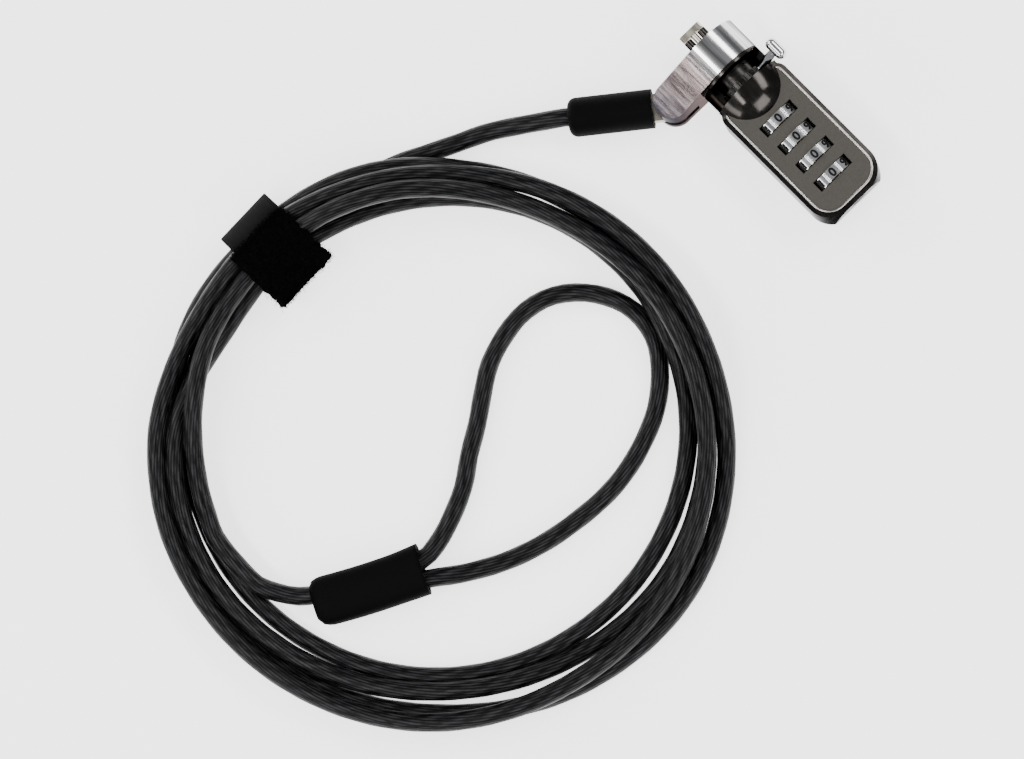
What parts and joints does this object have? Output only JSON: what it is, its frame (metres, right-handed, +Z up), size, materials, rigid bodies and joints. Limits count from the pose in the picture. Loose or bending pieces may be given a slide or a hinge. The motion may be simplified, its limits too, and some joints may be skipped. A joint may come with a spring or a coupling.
{
  "type": "laptop cable lock",
  "caption": "Combination cable lock: polished body with number wheels, push-and-turn T bolt, swivel collar arm, and a coiled steel cable with an end loop and strap.",
  "frame": {"origin": "on the base face, under the lock's axis, 0.9 mm towards the bolt from the middle of the number wheels", "axes": "+X along the lock's axis towards the T bolt, +Y towards the cable, +Z up from the surface that the lock lies on"},
  "size_m": [0.1433, 0.1921, 0.017],
  "materials": {
    "housing_metal": "polished black nickel",
    "plate_metal": "matt grey lacquer",
    "steel": "plain steel",
    "dark_steel": "blackened",
    "brass": "plain brass",
    "chrome": "polished",
    "nickel": "pale nickel plate",
    "collar_metal": "polished",
    "wheel_chrome": "polished with dark numbers",
    "sleeve_rubber": "matt black",
    "cable_jacket": "smoke-black jacket over twisted steel rope",
    "aluminium": "plain",
    "strap_weave": "woven nylon",
    "strap_pile": "napped loop pile"
  },
  "bodies": {
    "cable": {"cable_eye": "nickel", "swage": "steel", "cable_boot": "sleeve_rubber", "cable_lead": "cable_jacket", "cable_coil": "cable_jacket", "cable_tail": "cable_jacket", "cable_loop": "cable_jacket", "loop_ferrule": "aluminium", "loop_sleeve": "sleeve_rubber", "strap_band": "strap_weave", "strap_pile": "strap_pile"},
    "collar": {"swivel_collar": "collar_metal", "clevis_pin": "steel"},
    "lock_body": {"housing": "housing_metal", "face_plate": "plate_metal", "base_cover": "housing_metal", "cover_screws": "steel", "nose_plug": "housing_metal", "lug_pins": "housing_metal", "collar_washer": "dark_steel", "hub_spacers": "brass", "detent_spring": "steel", "push_spring": "steel"},
    "plunger": {"push_bush": "brass"},
    "spindle": {"spindle_shaft": "steel", "lever_drum": "dark_steel", "lever_post": "chrome", "lever_cap": "chrome", "t_bar": "nickel"},
    "reset": {"reset_screw": "steel"},
    "wheel_1": {"number_wheel_1": "wheel_chrome", "code_hub_1": "brass"},
    "wheel_2": {"number_wheel_2": "wheel_chrome", "code_hub_2": "brass"},
    "wheel_3": {"number_wheel_3": "wheel_chrome", "code_hub_3": "brass"},
    "wheel_4": {"number_wheel_4": "wheel_chrome", "code_hub_4": "brass"}
  },
  "joints": [
    {"name": "arm_pivot", "type": "hinge", "parent": "cable", "child": "collar", "pos_m": [0.02925, 0.01465, 0], "axis": [0, 0, 1], "range_deg": [-25, 40]},
    {"name": "collar_swivel", "type": "hinge", "parent": "collar", "child": "lock_body", "pos_m": [0, 0, 0.0085], "axis": [1, 0, 0], "continuous": true},
    {"name": "lever_push", "type": "slide", "parent": "lock_body", "child": "plunger", "axis": [1, 0, 0], "range_m": [0, 0.0022], "stiffness_N_per_m": 1200, "springref_m": -0.0012, "deforming": ["push_spring"]},
    {"name": "lever_turn", "type": "hinge", "parent": "plunger", "child": "spindle", "pos_m": [0, 0, 0.0085], "axis": [-1, 0, 0], "range_deg": [0, 90]},
    {"name": "reset_turn", "type": "hinge", "parent": "lock_body", "child": "reset", "pos_m": [0, 0, 0.0085], "axis": [1, 0, 0], "range_deg": [0, 90]},
    {"name": "wheel_1_turn", "type": "hinge", "parent": "lock_body", "child": "wheel_1", "pos_m": [0, 0, 0.0085], "axis": [1, 0, 0], "continuous": true},
    {"name": "wheel_2_turn", "type": "hinge", "parent": "lock_body", "child": "wheel_2", "pos_m": [0, 0, 0.0085], "axis": [1, 0, 0], "continuous": true},
    {"name": "wheel_3_turn", "type": "hinge", "parent": "lock_body", "child": "wheel_3", "pos_m": [0, 0, 0.0085], "axis": [1, 0, 0], "continuous": true},
    {"name": "wheel_4_turn", "type": "hinge", "parent": "lock_body", "child": "wheel_4", "pos_m": [0, 0, 0.0085], "axis": [1, 0, 0], "continuous": true}
  ]
}
